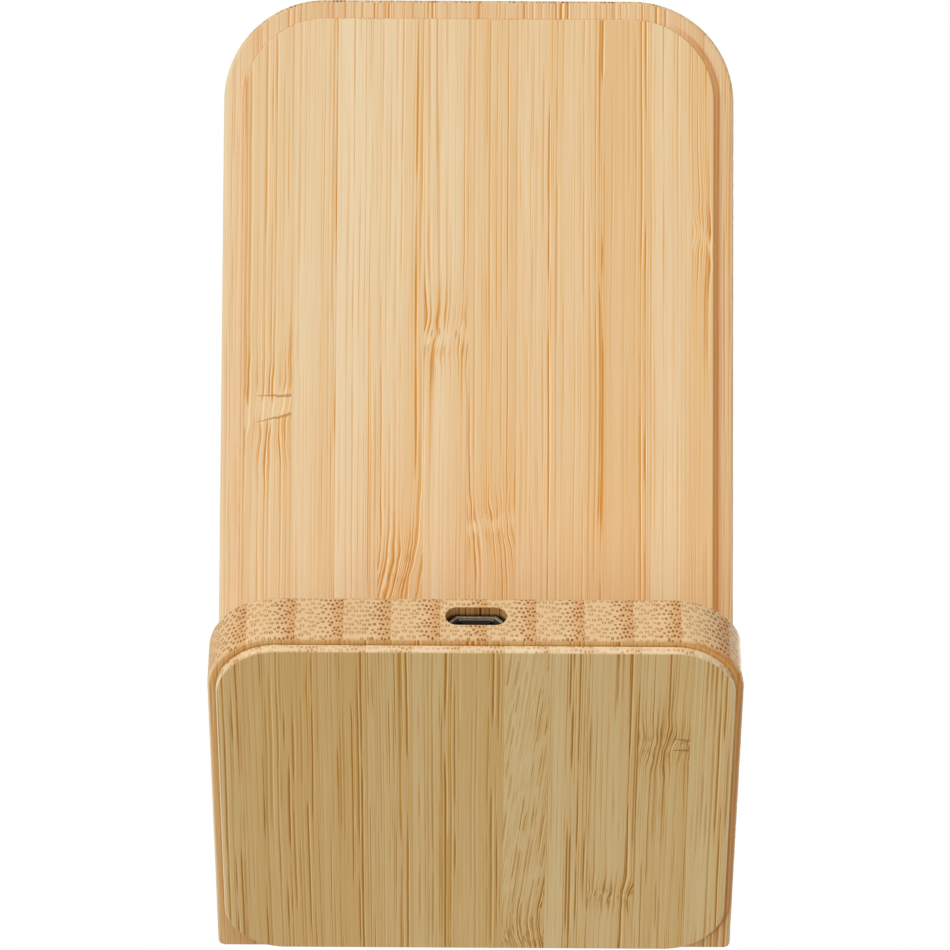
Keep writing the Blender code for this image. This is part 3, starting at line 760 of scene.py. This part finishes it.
        # Beside a plate: painted shadow with some glue staining, a painted bounced glow, and grime with
        # painted contact shade
        if crease:
            shadow_and_stain, glow, dirt_and_shade = self.crease(*crease)
            colour = self.blend(shadow_and_stain * 0.65, colour, palette.shadow_and_stain)
            colour = self.blend(glow, colour, palette.painted_bounce)
            colour = self.blend(dirt_and_shade * 0.3, colour, palette.dirt_and_shade)
        if tunnel:
            # Painted shade in a slot: its walls darkened, the lines on them drawn darker, and near-black
            # deeper in
            colour = self.blend(walls * 0.42, colour, palette.dark)
            shaded_streaks = self.clamp(walls * self.drawn * 1.2)
            colour = self.blend(shaded_streaks, colour, palette.shaded_streak)
            colour = self.blend(shade * 0.9, colour, palette.shade)

        relief = self.node("ShaderNodeMix", self.end, data_type="FLOAT")
        self.plug((self.pale - self.marks - self.bold - seams) * self.LINE_DEPTH, relief.inputs[2])
        self.plug(mask * -self.DOT_DEPTH, relief.inputs[3])
        height = self.grain * self.GRAIN_DEPTH + relief.outputs[0]
        rough = (self.grain - 0.5) * 0.25 + self.end * 0.15 - self.drawn * 0.08 + 0.5
        self.surface.inputs["Specular IOR Level"].default_value = 0.4
        return self.finish(Base_Color=colour, Roughness=rough, Normal=self.bump(height, MM))


def grained(name, colour, second, roughness, metallic, scale, stretch=(1, 1, 1), depth=0.004, gloss=0.5):
    """A plain stuff whose colour and roughness vary, with a fine bump. scale is grains per millimetre."""
    shader = Shader(name)
    texture = shader.node("ShaderNodeTexCoord")
    mapping = shader.node("ShaderNodeMapping", texture.outputs["Object"], vector_type="POINT")
    mapping.inputs["Scale"].default_value = tuple(share / MM for share in stretch)
    coarse = shader.noise(mapping.outputs[0], scale, 3.0)
    fine = shader.noise(mapping.outputs[0], 5 * scale, 2.0)
    tint = shader.blend(shader.ramp(coarse, 0.3, 0.7), colour, second)
    tint = shader.shade(tint, fine * 0.12 + 0.94)
    rough = (coarse - 0.5) * 0.3 + roughness
    shader.surface.inputs["Metallic"].default_value = metallic
    shader.surface.inputs["Specular IOR Level"].default_value = gloss
    return shader.finish(Base_Color=tint, Roughness=rough, Normal=shader.bump(fine, depth * MM))


BOARD_COLOURS = Palette(
    pale=srgb(237, 205, 156),
    warm=srgb(222, 174, 116),
    amber=srgb(214, 142, 24),
    line=srgb(198, 126, 14),
    cream=srgb(248, 221, 176),
    end_pale=srgb(235, 200, 150),
    end_warm=srgb(220, 171, 115),
    dot=srgb(138, 70, 0),
    ring=srgb(160, 98, 0),
    # dark colours the knuckle marks, and also paints shade on a slot's walls
    dark=srgb(184, 112, 0),
    # Painted colours: a shadow beside a plate with some glue staining, the glow of light bounced into it,
    # grime with contact shade, a highlight on rounded edges, darker lines on a slot's walls, and the
    # near-black deep in a slot
    shadow_and_stain=srgb(200, 112, 0),
    painted_bounce=srgb(234, 162, 20),
    dirt_and_shade=srgb(150, 84, 0),
    edge_highlight=srgb(255, 240, 200),
    shaded_streak=srgb(118, 64, 4),
    shade=srgb(44, 28, 10),
)
BASE_COLOURS = BOARD_COLOURS._replace(pale=srgb(234, 196, 134), warm=srgb(222, 170, 100))
BACK_COLOURS = BOARD_COLOURS._replace(pale=srgb(233, 206, 164), warm=srgb(220, 177, 122))
BACK_COVER_COLOURS = BOARD_COLOURS._replace(
    pale=srgb(236, 212, 171),
    warm=srgb(227, 187, 131),
    amber=srgb(222, 154, 40),
    line=srgb(202, 132, 20),
    end_pale=srgb(234, 208, 170),
    end_warm=srgb(222, 184, 138),
    dot=srgb(186, 138, 88),
    ring=srgb(198, 160, 116),
)
BASE_COVER_COLOURS = BOARD_COLOURS._replace(
    pale=srgb(237, 209, 152),
    warm=srgb(225, 184, 114),
    amber=srgb(208, 144, 0),
    line=srgb(174, 116, 0),
    cream=srgb(248, 216, 156),
    end_pale=srgb(242, 216, 174),
    end_warm=srgb(232, 196, 148),
    dot=srgb(190, 142, 88),
    ring=srgb(204, 166, 118),
    dark=srgb(150, 96, 0),
)


def make_strips(*rows):
    """Strips from the numbers of each."""
    return [Strip(*row) for row in rows]


# Strips of each piece from the lowest X
BACK_COVER_STRIPS = make_strips(
    (-31.35, 0.87, 1.30, Knuckle(103.3, 7.0, slant=0.05, sweep=0.1, gap=1.0, ticks=0.2)),
    (-24.92, 0.32, 0.50),
    (-18.48, 0.87, 0.65),
    (-12.33, 0.62, 0.60),
    (-5.61, 0.37, 0.60),
    (1.42, 0.57, 0.75, Knuckle(61.5, 6.5, slant=-0.1, sweep=-0.5, gap=0.9, ticks=0.3)),
    (7.85, 0.27, 0.60, Knuckle(89.1, 7.0, slant=0.05, sweep=0.4, gap=0.9, ticks=0.35)),
    (14.40, 0.37, 0.70, Knuckle(54.0, 8.0, slant=-0.15, sweep=0.9, ticks=0.5)),
    (20.72, 0.03, 0.60),
    (27.16, 0.27, 0.45),
    (34.04, 0.42, 0.55, Knuckle(78.4, 9.0, slant=-0.12, sweep=0.35, gap=2.0, cross=0.8)),
    (41.0, 0.50, 0.85),
)
BASE_COVER_STRIPS = make_strips(
    (-30.21, 0.35, 0.95),
    (-22.95, 0.42, 1.00, Knuckle(45.5, 6.5, sweep=0.4, gap=0.4, ticks=0.8, cross=0.4)),
    (-16.25, 0.30, 0.95, Knuckle(13.3, 4.0, slant=0.05, sweep=0.3, gap=0.7, ticks=0.8)),
    (-10.10, 0.10, 0.85),
    (-3.96, 0.25, 1.00, Knuckle(4.4, 6.0, sweep=-0.9, gap=0.5, ticks=0.9), 0.6),
    (2.32, 0.85, 0.75),
    (8.89, 0.45, 0.95),
    (15.31, 0.45, 1.00),
    (22.02, 0.85, 1.00),
    (29.84, 0.90, 0.95),
    (32.92, 0.75, 1.05),
    (39.5, 0.40, 0.90),
)
BASE_STRIPS = make_strips(
    (-35.30, 0.30, 1.15),
    (-28.48, 0.35, 1.15),
    (-21.81, 0.35, 1.10),
    (-15.00, 0.30, 1.10),
    (-8.32, 0.40, 1.15),
    (-1.51, 0.30, 1.15),
    (5.02, 0.45, 1.10),
    (11.83, 0.30, 1.15),
    (18.50, 0.55, 1.15),
    (25.17, 0.35, 1.20),
    (31.98, 0.30, 1.15),
    (38.7, 0.55, 1.15),
)
BACK_STRIPS = make_strips(
    (-33.2, 0.50, 0.70),
    (-26.6, 0.50, 0.65),
    (-20.1, 0.40, 0.70, Knuckle(106.0, 8.0, slant=-0.1, sweep=0.5, gap=0.7, ticks=0.3)),
    (-13.5, 0.45, 0.65),
    (-6.9, 0.35, 0.60),
    (-0.2, 0.50, 0.65, Knuckle(44.0, 8.0, slant=0.1, sweep=-0.6, gap=0.8, ticks=0.4)),
    (6.4, 0.40, 0.65),
    (13.0, 0.45, 0.70),
    (19.7, 0.35, 0.65, Knuckle(86.0, 9.0, slant=0.1, sweep=0.6, gap=0.8, cross=0.5)),
    (26.2, 0.50, 0.70),
    (32.8, 0.40, 0.65),
    (39.5, 0.05, 0.35),
)
LEDGE_STRIPS = make_strips(
    (-15.2, 0.40, 0.80),
    (-8.6, 0.35, 0.80),
    (-2.1, 0.45, 0.80),
    (4.6, 0.40, 0.85),
    (11.1, 0.35, 0.80),
)


def in_millimetres(*lengths):
    """Lengths in metres as numbers of millimetres."""
    return tuple(length / MM for length in lengths)


BACK_COVER_OUTLINE = (
    BOARD_WIDTH / 2 - BACK_COVER_MARGIN,
    INNER_UP + BACK_COVER_SETBACK,
    BACK_LENGTH - BACK_COVER_MARGIN,
    BACK_COVER_CORNER,
    BACK_COVER_CORNER,
)
BASE_COVER_OUTLINE = (
    BOARD_WIDTH / 2 - BASE_COVER_MARGIN,
    BASE_COVER_MARGIN,
    BASE_LENGTH - BASE_COVER_MARGIN,
    BASE_COVER_CORNER,
    BASE_COVER_CORNER,
)
SHELL_LOW, SHELL_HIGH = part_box("usb_shell")
SLOT_HALF_WIDTH = SHELL_HIGH.x + SLOT_SIDE
SLOT_LOW = SHELL_LOW.z - SLOT_ABOVE
SLOT_HIGH = SHELL_HIGH.z + SLOT_ABOVE

# crease= sets the painted shadow, bounced glow and contact shade beside a plate; the last argument is the
# painted highlight on the rounded edges
back_wood = Bamboo("bamboo_back", BACK_FRAME, BACK_STRIPS, BACK_COLOURS, 4.0).build(
    crease=(in_millimetres(*BACK_COVER_OUTLINE), -BACK_THICKNESS / MM, 0.55),
    edge_highlight=0.3,
)
back_cover_wood = Bamboo(
    "bamboo_back_cover", BACK_FRAME, BACK_COVER_STRIPS, BACK_COVER_COLOURS, 11.0
).build(deepen=0.3, edge_highlight=0.35)
base_wood = Bamboo("bamboo_base", BASE_FRAME, BASE_STRIPS, BASE_COLOURS, 23.0).build(
    crease=(in_millimetres(*BASE_COVER_OUTLINE), 0.0, 0.3),
    tunnel=in_millimetres(SLOT_HALF_WIDTH, SLOT_LOW - BASE_LOW.z, SLOT_HIGH - BASE_LOW.z, BASE_LENGTH),
    edge_highlight=0.6,
)
base_cover_wood = Bamboo(
    "bamboo_base_cover",
    BASE_FRAME,
    BASE_COVER_STRIPS,
    BASE_COVER_COLOURS,
    35.0,
    run=26.0,
    pitch=0.82,
    weight=0.95,
).build(edge_highlight=0.9)
ledge_wood = Bamboo("bamboo_ledge", BACK_FRAME, LEDGE_STRIPS, BOARD_COLOURS, 52.0, turned=True).build()


STEEL = grained("inlet_steel", srgb(138, 130, 110), srgb(112, 104, 86), 0.45, 0.75, 1.5, (1.0, 0.2, 1.0))
# A dark copy of the inlet's steel: painted shade for the inside of the shell
SHADED_STEEL = grained("inlet_steel_painted_shade", srgb(52, 46, 38), srgb(38, 34, 28), 0.6, 0.5, 1.5, gloss=0.2)
SCREW_STEEL = grained("screw_steel", srgb(172, 174, 176), srgb(132, 134, 138), 0.3, 1.0, 2.0)
CONTACTS = grained("contact_metal", srgb(214, 174, 98), srgb(186, 142, 70), 0.28, 1.0, 2.0)
COPPER = grained("coil_copper", srgb(188, 106, 60), srgb(150, 78, 40), 0.35, 1.0, 2.5)
BLACK = grained("black_plastic", srgb(26, 26, 28), srgb(36, 36, 38), 0.5, 0.0, 2.0)
TONGUE = grained("tongue_plastic", srgb(20, 18, 16), srgb(28, 25, 22), 0.6, 0.0, 2.0, gloss=0.15)
FERRITE = grained("ferrite", srgb(58, 58, 62), srgb(44, 44, 47), 0.7, 0.0, 2.0)
FOAM = grained("foam", srgb(72, 72, 74), srgb(54, 54, 56), 0.9, 0.0, 3.0, depth=0.05)
FILM = grained("adhesive_film", srgb(228, 226, 214), srgb(214, 210, 194), 0.6, 0.0, 1.0)
LEAD = grained("lead_insulation", srgb(150, 30, 26), srgb(126, 22, 20), 0.45, 0.0, 2.0)
LAMINATE = grained("board_laminate", srgb(24, 92, 58), srgb(18, 76, 46), 0.35, 0.0, 2.0)
CERAMIC = grained("capacitor_ceramic", srgb(186, 162, 126), srgb(164, 138, 102), 0.5, 0.0, 3.0)
DOWEL = grained(
    "dowel_bamboo", srgb(214, 178, 128), srgb(190, 148, 96), 0.7, 0.0, 1.0, (3.0, 0.3, 0.3), depth=0.03
)


def mitre_plane(side):
    """A point on the mitre face of the board on that side of the joint, and the way out of it."""
    normal = Vector((0, -math.sin(MITRE_ANGLE), math.cos(MITRE_ANGLE))) * side
    return OUTER_EDGE - normal * SEAM / 2, normal


def make_back_rest():
    """The tall board, cut on the mitre."""
    shape = (BOARD_WIDTH / 2, 0, BACK_LENGTH, MITRE_CORNER, BACK_CORNER)
    mesh = plate_mesh(shape, -BACK_THICKNESS, 0, BOARD_ROUND, BOARD_ROUND)
    mesh.transform(BACK_FRAME)
    cut_plane(mesh, *mitre_plane(-1))
    board = make_object("back_rest_wood", mesh)
    smooth(board, WOOD_SHARP)
    finish_piece(board, back_wood, "bamboo_board", "back_rest")


def make_base_board():
    """The short board, cut on the mitre, with the inlet's slot in its end."""
    shape = (BOARD_WIDTH / 2, 0, BASE_LENGTH, MITRE_CORNER, BASE_CORNER)
    mesh = plate_mesh(shape, 0, BASE_THICKNESS, BOARD_ROUND, BOARD_ROUND)
    mesh.transform(BASE_FRAME)
    cut_plane(mesh, *mitre_plane(1))
    board = make_object("base_board_wood", mesh)
    radius = (SLOT_HIGH - SLOT_LOW) / 2
    shape = (SLOT_HALF_WIDTH, SLOT_LOW, SLOT_HIGH, radius, radius)
    slot = plate_mesh(shape, -BASE_HIGH.y - OVERRUN, -SHELL_LOW.y, 0, 0)
    cut_out(board, make_object("slot", slot, Matrix.Rotation(math.pi / 2, 4, "X")))
    smooth(board, WOOD_SHARP)
    finish_piece(board, base_wood, "bamboo_board", "base_board")


def make_cover(node, outline, matrix, level, edge_round, material):
    """A thin plate on the face of a board at that level, just clear of it."""
    mesh = plate_mesh(outline, level - COVER_RAISE, level - COVER_SEAM, edge_round, SEAM_ROUND)
    cover = make_object(f"{node}_plate", mesh, matrix)
    smooth(cover, WOOD_SHARP)
    finish_piece(cover, material, "bamboo_cover", node)


def make_ledge():
    """The strip that the phone stands on, with its outer corners rounded."""
    shape = (BOARD_WIDTH / 2, SEAM, CLEARANCE + LEDGE_DEPTH, 2 * LEDGE_ROUND, LEDGE_CORNER)
    mesh = plate_mesh(shape, -LEDGE_RISE - LEDGE_THICKNESS, -LEDGE_RISE, LEDGE_ROUND, LEDGE_ROUND)
    ledge = make_object("phone_ledge_wood", mesh, BACK_FRAME @ Matrix.Rotation(math.pi / 2, 4, "X"))
    smooth(ledge, WOOD_SHARP)
    finish_piece(ledge, ledge_wood, "bamboo_board", "phone_ledge")


def shell_outline(inset, notch):
    """The shell across its length, anticlockwise from below: wide below and narrow above.

    notch is how far the seam in the middle of the top goes up, or down below zero.
    """
    half_width = SHELL_HIGH.x - inset
    low = SHELL_LOW.z + inset
    high = SHELL_HIGH.z - inset
    corners = (
        (-half_width, low),
        (half_width, low),
        (half_width, high - SHELL_CHAMFER),
        (half_width - SHELL_CHAMFER, high),
        (SHELL_CHAMFER - half_width, high),
        (-half_width, high - SHELL_CHAMFER),
    )
    outline = []
    for number, corner in enumerate(corners):
        corner = Vector(corner)
        before = (Vector(corners[number - 1]) - corner).normalized()
        after = (Vector(corners[(number + 1) % len(corners)]) - corner).normalized()
        turn = math.pi - before.angle(after)
        radius = max(SHELL_BEND - inset, SHELL_BEND / 4)
        centre = corner + (before + after).normalized() * radius / math.cos(turn / 2)
        start = corner + before * radius * math.tan(turn / 2) - centre
        for step in range(BEND_STEPS + 1):
            outline.append(centre + Matrix.Rotation(turn * step / BEND_STEPS, 2) @ start)
        if number == BEFORE_SEAM:
            outline.append(Vector((SEAM_HALF_WIDTH, high)))
            outline.append(Vector((0, high + notch)))
            outline.append(Vector((-SEAM_HALF_WIDTH, high)))
    return outline


def make_shell():
    """The inlet's folded steel shell, open to the back, with a flared mouth and a seam on top."""
    mouth = SHELL_HIGH.y + MOUTH_OUT
    throat = mouth - FLARE_LENGTH
    rear = SHELL_LOW.y
    stations = [(rear, FLARE, -SEAM_DEPTH), (throat, FLARE, -SEAM_DEPTH)]
    for step in range(1, BEND_STEPS + 1):
        share = step / BEND_STEPS
        stations.append((throat + FLARE_LENGTH * share, FLARE * (1 - share * share), -SEAM_DEPTH))
    lip = SHELL_WALL / 2
    for step in range(1, BEND_STEPS):
        angle = math.pi * step / BEND_STEPS
        stations.append((mouth - lip * (1 - math.sin(angle)), lip * (1 - math.cos(angle)), 0))
    for step in range(BEND_STEPS, -1, -1):
        share = step / BEND_STEPS
        inset = SHELL_WALL + FLARE * (1 - share * share)
        stations.append((throat + (FLARE_LENGTH - lip) * share, inset, SEAM_DEPTH))
    stations.append((rear + SHELL_WALL, SHELL_WALL + FLARE, SEAM_DEPTH))
    mesh = bmesh.new()
    rings = []
    for place, inset, notch in stations:
        place = min(place, mouth)
        rings.append([mesh.verts.new((point.x, place, point.y)) for point in shell_outline(inset, notch)])
    # Painted shade: inside the shell the faces take a dark copy of the steel, apart from the top of the
    # mouth
    inside = len(rings) - BEND_STEPS - 2
    dark = []
    for number, (first, second) in enumerate(zip(rings, rings[1:])):
        for index in range(len(first)):
            after = (index + 1) % len(first)
            face = mesh.faces.new((first[index], first[after], second[after], second[index]))
            middle = face.calc_center_median()
            bright = middle.z > SHELL_HIGH.z - SHELL_CHAMFER / 2 and middle.y > mouth - FLARE_LENGTH
            bright = bright and abs(middle.x) < SHELL_HIGH.x - SHELL_CHAMFER
            dark.append(int(number >= inside and not bright))
    mesh.faces.new(rings[0])
    mesh.faces.new(list(reversed(rings[-1])))
    shell = make_object("inlet_shell", mesh)
    smooth(shell, INLET_SHARP)
    finish_piece(shell, STEEL, "shell_steel", "usb_shell")
    # The dark copy of the steel paints shade inside the shell
    shell.data.materials.append(SHADED_STEEL)
    for face, index in zip(shell.data.polygons, dark):
        face.material_index = index


def make_tongue():
    """The black insulator: a block at the back of the shell and a thin tongue that fills its middle."""
    low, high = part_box("usb_tongue")
    root = box_mesh(low, (high.x, low.y + TONGUE_ROOT, high.z))
    blade = box_mesh(
        (-TONGUE_WIDTH / 2, low.y + TONGUE_ROOT - SEAM, high.z - TONGUE_THICKNESS),
        (TONGUE_WIDTH / 2, SHELL_HIGH.y + MOUTH_OUT - TONGUE_SETBACK, high.z),
    )
    for name, mesh in (("inlet_root", root), ("inlet_tongue", blade)):
        bmesh.ops.bevel(
            mesh, geom=mesh.edges[:], offset=TONGUE_ROUND, segments=3, profile=0.5, affect="EDGES"
        )
        piece = make_object(name, mesh)
        smooth(piece, INLET_SHARP)
        finish_piece(piece, TONGUE, "tongue_plastic", "usb_tongue")


make_back_rest()
make_base_board()
make_cover(
    "back_cover", BACK_COVER_OUTLINE, BACK_FRAME, -BACK_THICKNESS, BACK_COVER_ROUND, back_cover_wood
)
make_cover("base_cover", BASE_COVER_OUTLINE, BASE_FRAME, 0.0, BASE_COVER_ROUND, base_cover_wood)
make_ledge()
make_shell()
make_tongue()

CAD_MATERIALS = {
    "usb_contact": CONTACTS,
    "board_screw": SCREW_STEEL,
    "charging_coil": COPPER,
    "ferrite_sheet": FERRITE,
    "power_inductor": FERRITE,
    "coil_foam": FOAM,
    "coil_adhesive": FILM,
    "coil_lead": LEAD,
    "circuit_board": LAMINATE,
    "controller_chip": BLACK,
    "bridge_transistor": BLACK,
    "resonance_capacitor": CERAMIC,
    "input_capacitor": CERAMIC,
    "ledge_dowel": DOWEL,
    "mitre_spline": DOWEL,
}
for name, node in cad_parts.items():
    kind = name.rstrip("0123456789").rstrip("_")
    if kind in CAD_MATERIALS:
        for slot in node.material_slots:
            slot.link = "OBJECT"
            slot.material = CAD_MATERIALS[kind]


def make_floor():
    """A pale floor that the camera sees from above, and that lets light and sight through from below."""
    mesh = bmesh.new()
    bmesh.ops.create_grid(mesh, x_segments=1, y_segments=1, size=FLOOR_HALF_SIZE)
    floor = make_object("floor", mesh, Matrix.Translation((0, 0, -FLOOR_DROP)))
    shader = Shader("floor_paint")
    tree = shader.tree
    paint = shader.surface
    paint.inputs["Roughness"].default_value = 0.9
    paint.inputs["Specular IOR Level"].default_value = 0.1
    texture = shader.node("ShaderNodeTexCoord")
    mottle = shader.noise(texture.outputs["Object"], 60.0, 3.0)
    tint = shader.blend(mottle, srgb(244, 243, 241), srgb(250, 249, 247))
    shader.plug(tint, paint.inputs["Base Color"])
    from_camera = Value(shader, shader.node("ShaderNodeLightPath").outputs["Is Camera Ray"])
    below = Value(shader, shader.node("ShaderNodeNewGeometry").outputs["Backfacing"])
    mix = shader.node("ShaderNodeMixShader", from_camera * (1.0 - below))
    clear = shader.node("ShaderNodeBsdfTransparent")
    tree.links.new(clear.outputs[0], mix.inputs[1])
    tree.links.new(paint.outputs[0], mix.inputs[2])
    tree.links.new(mix.outputs[0], tree.nodes["Material Output"].inputs["Surface"])
    floor.data.materials.append(shader.material)


def make_world():
    """Even light from all round, behind a white background."""
    world = bpy.data.worlds.new("studio")
    bpy.context.scene.world = world
    world.use_nodes = True
    tree = world.node_tree
    path = tree.nodes.new("ShaderNodeLightPath")
    seen = tree.nodes.new("ShaderNodeMath")
    seen.operation = "MAXIMUM"
    tree.links.new(path.outputs["Is Camera Ray"], seen.inputs[0])
    tree.links.new(path.outputs["Is Glossy Ray"], seen.inputs[1])
    level = tree.nodes.new("ShaderNodeMapRange")
    tree.links.new(seen.outputs[0], level.inputs[0])
    level.inputs["To Min"].default_value = SKY_LIGHT
    level.inputs["To Max"].default_value = 1.0
    background = tree.nodes["Background"]
    background.inputs["Color"].default_value = (1.0, 1.0, 1.0, 1.0)
    tree.links.new(level.outputs[0], background.inputs["Strength"])


def make_sun(name, towards, strength, angle):
    """A broad soft light that shines from the direction given."""
    data = bpy.data.lights.new(name, "SUN")
    data.energy = strength
    data.angle = math.radians(angle)
    lamp = bpy.data.objects.new(name, data)
    lamp.rotation_mode = "QUATERNION"
    lamp.rotation_quaternion = Vector(towards).to_track_quat("Z", "Y")
    bpy.context.scene.collection.objects.link(lamp)


def make_camera():
    """The photograph's camera: behind and below the stand, far off, with a long lens."""
    data = bpy.data.cameras.new("camera")
    data.sensor_width = CAMERA_SENSOR
    data.lens = CAMERA_LENS
    data.clip_start = CAMERA_NEAR
    camera = bpy.data.objects.new("camera", data)
    bpy.context.scene.collection.objects.link(camera)
    back = Vector((0, math.sin(CAMERA_PITCH), -math.cos(CAMERA_PITCH)))
    upright = Vector((0, math.cos(CAMERA_PITCH), math.sin(CAMERA_PITCH)))
    up = upright * math.cos(CAMERA_ROLL) + Vector((math.sin(CAMERA_ROLL), 0, 0))
    right = up.cross(back)
    turn = Matrix((right, up, back)).transposed()
    camera.matrix_world = Matrix.Translation(CAMERA_PLACE) @ turn.to_4x4()
    bpy.context.scene.camera = camera


make_floor()
make_world()
make_sun("key_light", (0.42, 0.85, -0.31), 2.0, 75)
make_sun("front_light", (-0.3, -0.6, 0.75), 1.9, 30)
make_camera()
bpy.context.scene.view_settings.view_transform = "Standard"
